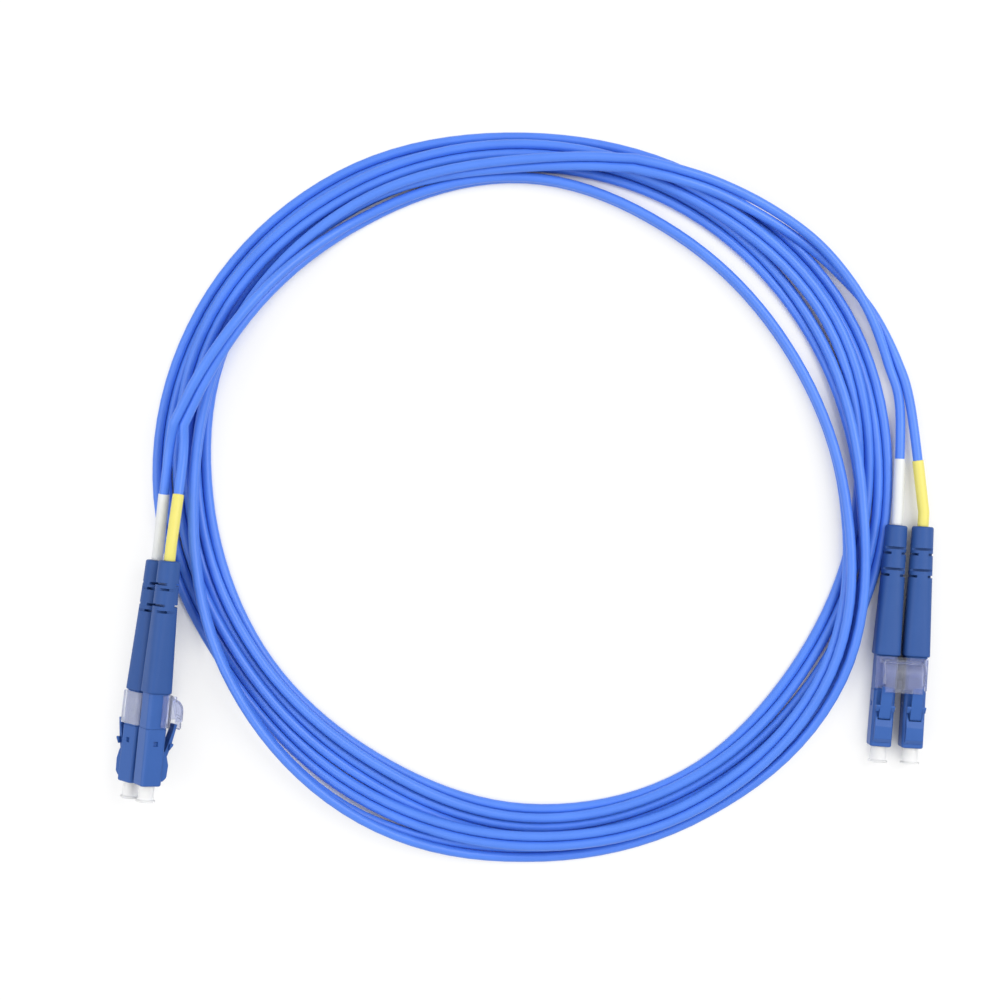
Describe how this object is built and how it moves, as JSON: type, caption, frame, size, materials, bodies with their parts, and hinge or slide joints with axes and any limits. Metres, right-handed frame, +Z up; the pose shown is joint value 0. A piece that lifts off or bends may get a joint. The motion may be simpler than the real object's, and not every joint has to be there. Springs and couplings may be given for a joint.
{
  "type": "fibre optic patch cord",
  "caption": "Duplex fibre optic patch cord, laid in a round coil, with latching small form factor plugs, clear clips, marker sleeves and dust caps at both ends.",
  "frame": {"origin": "middle of the coil, on the surface that it lies on", "axes": "+Z up, +Y towards the coil's 12 o'clock, and +X towards the end whose plugs lie latch up; the plugs' noses point towards -Y"},
  "size_m": [0.1713, 0.1537, 0.0134],
  "materials": {
    "cord_jacket": "satin extruded jacket",
    "boot_blue": "satin moulded elastomer",
    "plug_blue": "semi-gloss moulded plastic",
    "clear_plastic": "clear moulded plastic with a faint lilac cast",
    "marker_white": "shrunk sleeve",
    "marker_yellow": "shrunk sleeve",
    "cap_plastic": "soft translucent plastic",
    "ceramic": "polished zirconia",
    "metal": "plated metal",
    "buffer": "tight buffer on glass fibre",
    "yarn": "aramid yarn"
  },
  "bodies": {
    "cord": {"coil_strand_a": "cord_jacket", "coil_strand_b": "cord_jacket", "left_lead_a": "cord_jacket", "left_lead_b": "cord_jacket", "right_lead_a": "cord_jacket", "right_lead_b": "cord_jacket", "left_a_marker_sleeve": "marker_white", "left_b_marker_sleeve": "marker_yellow", "right_a_marker_sleeve": "marker_white", "right_b_marker_sleeve": "marker_yellow", "left_a_boot": "boot_blue", "left_b_boot": "boot_blue", "right_a_boot": "boot_blue", "right_b_boot": "boot_blue", "left_a_crimp_ring": "metal", "left_b_crimp_ring": "metal", "right_a_crimp_ring": "metal", "right_b_crimp_ring": "metal", "left_a_rear_body": "plug_blue", "left_b_rear_body": "plug_blue", "right_a_rear_body": "plug_blue", "right_b_rear_body": "plug_blue", "left_a_housing": "plug_blue", "left_b_housing": "plug_blue", "right_a_housing": "plug_blue", "right_b_housing": "plug_blue", "left_a_clip": "clear_plastic", "left_b_clip": "clear_plastic", "right_clip": "clear_plastic", "left_a_spring": "metal", "left_b_spring": "metal", "right_a_spring": "metal", "right_b_spring": "metal", "left_a_fibre": "buffer", "left_b_fibre": "buffer", "right_a_fibre": "buffer", "right_b_fibre": "buffer", "aramid_yarn": "yarn"},
    "left_a_latch": {"left_a_latch": "plug_blue"},
    "left_a_ferrule": {"left_a_ferrule": "ceramic", "left_a_ferrule_flange": "metal"},
    "left_a_dust_cap": {"left_a_dust_cap": "cap_plastic"},
    "left_b_latch": {"left_b_latch": "plug_blue"},
    "left_b_ferrule": {"left_b_ferrule": "ceramic", "left_b_ferrule_flange": "metal"},
    "left_b_dust_cap": {"left_b_dust_cap": "cap_plastic"},
    "right_a_ferrule": {"right_a_ferrule": "ceramic", "right_a_ferrule_flange": "metal"},
    "right_a_dust_cap": {"right_a_dust_cap": "cap_plastic"},
    "right_b_ferrule": {"right_b_ferrule": "ceramic", "right_b_ferrule_flange": "metal"},
    "right_b_dust_cap": {"right_b_dust_cap": "cap_plastic"},
    "right_latches": {"right_a_latch": "plug_blue", "right_b_latch": "plug_blue"},
    "left_b_trigger": {"left_b_trigger": "clear_plastic"},
    "right_trigger": {"right_trigger": "clear_plastic"}
  },
  "joints": [
    {"name": "left_a_latch_flex", "type": "hinge", "parent": "cord", "child": "left_a_latch", "pos_m": [-0.08364, -0.05267, 0.0032], "axis": [0.6385, -0.0739, -0.766], "range_deg": [0, 6.5], "stiffness_Nm_per_rad": 0.02},
    {"name": "left_a_ferrule_float", "type": "slide", "parent": "cord", "child": "left_a_ferrule", "axis": [0.1149, 0.9934, 0], "range_m": [0, 0.0008], "stiffness_N_per_m": 1000, "deforming": ["left_a_spring"]},
    {"name": "left_a_cap_pull", "type": "slide", "parent": "cord", "child": "left_a_dust_cap", "axis": [-0.1149, -0.9934, 0], "range_m": [0, 0.009]},
    {"name": "left_b_latch_flex", "type": "hinge", "parent": "cord", "child": "left_b_latch", "pos_m": [-0.07494, -0.05324, 0.00841], "axis": [0.5706, -0.058, 0.8192], "range_deg": [0, 6.5], "stiffness_Nm_per_rad": 0.02},
    {"name": "left_b_ferrule_float", "type": "slide", "parent": "cord", "child": "left_b_ferrule", "axis": [0.1011, 0.9949, 0], "range_m": [0, 0.0008], "stiffness_N_per_m": 1000, "deforming": ["left_b_spring"]},
    {"name": "left_b_cap_pull", "type": "slide", "parent": "cord", "child": "left_b_dust_cap", "axis": [-0.1011, -0.9949, 0], "range_m": [0, 0.009]},
    {"name": "right_latches_flex", "type": "hinge", "parent": "cord", "child": "right_latches", "pos_m": [0.07472, -0.04577, 0.00575], "axis": [-0.9966, 0.0819, 0], "range_deg": [0, 6.5], "stiffness_Nm_per_rad": 0.04},
    {"name": "right_a_ferrule_float", "type": "slide", "parent": "cord", "child": "right_a_ferrule", "axis": [0.0819, 0.9966, 0], "range_m": [0, 0.0008], "stiffness_N_per_m": 1000, "deforming": ["right_a_spring"]},
    {"name": "right_a_cap_pull", "type": "slide", "parent": "cord", "child": "right_a_dust_cap", "axis": [-0.0819, -0.9966, 0], "range_m": [0, 0.009]},
    {"name": "right_b_ferrule_float", "type": "slide", "parent": "cord", "child": "right_b_ferrule", "axis": [0.0576, 0.9983, 0], "range_m": [0, 0.0008], "stiffness_N_per_m": 1000, "deforming": ["right_b_spring"]},
    {"name": "right_b_cap_pull", "type": "slide", "parent": "cord", "child": "right_b_dust_cap", "axis": [-0.0576, -0.9983, 0], "range_m": [0, 0.009]},
    {"name": "left_b_trigger_flex", "type": "hinge", "parent": "cord", "child": "left_b_trigger", "pos_m": [-0.07351, -0.04162, 0.00824], "axis": [-0.5706, 0.058, -0.8192], "range_deg": [0, 9], "stiffness_Nm_per_rad": 0.01},
    {"name": "right_trigger_flex", "type": "hinge", "parent": "cord", "child": "right_trigger", "pos_m": [0.07878, -0.03428, 0.00605], "axis": [0.9976, -0.0698, 0], "range_deg": [0, 9], "stiffness_Nm_per_rad": 0.01}
  ],
  "couplings": [
    {"joint": "left_b_trigger_flex", "follows": "left_b_latch_flex", "ratio": 1.3},
    {"joint": "right_trigger_flex", "follows": "right_latches_flex", "ratio": 1.3}
  ]
}
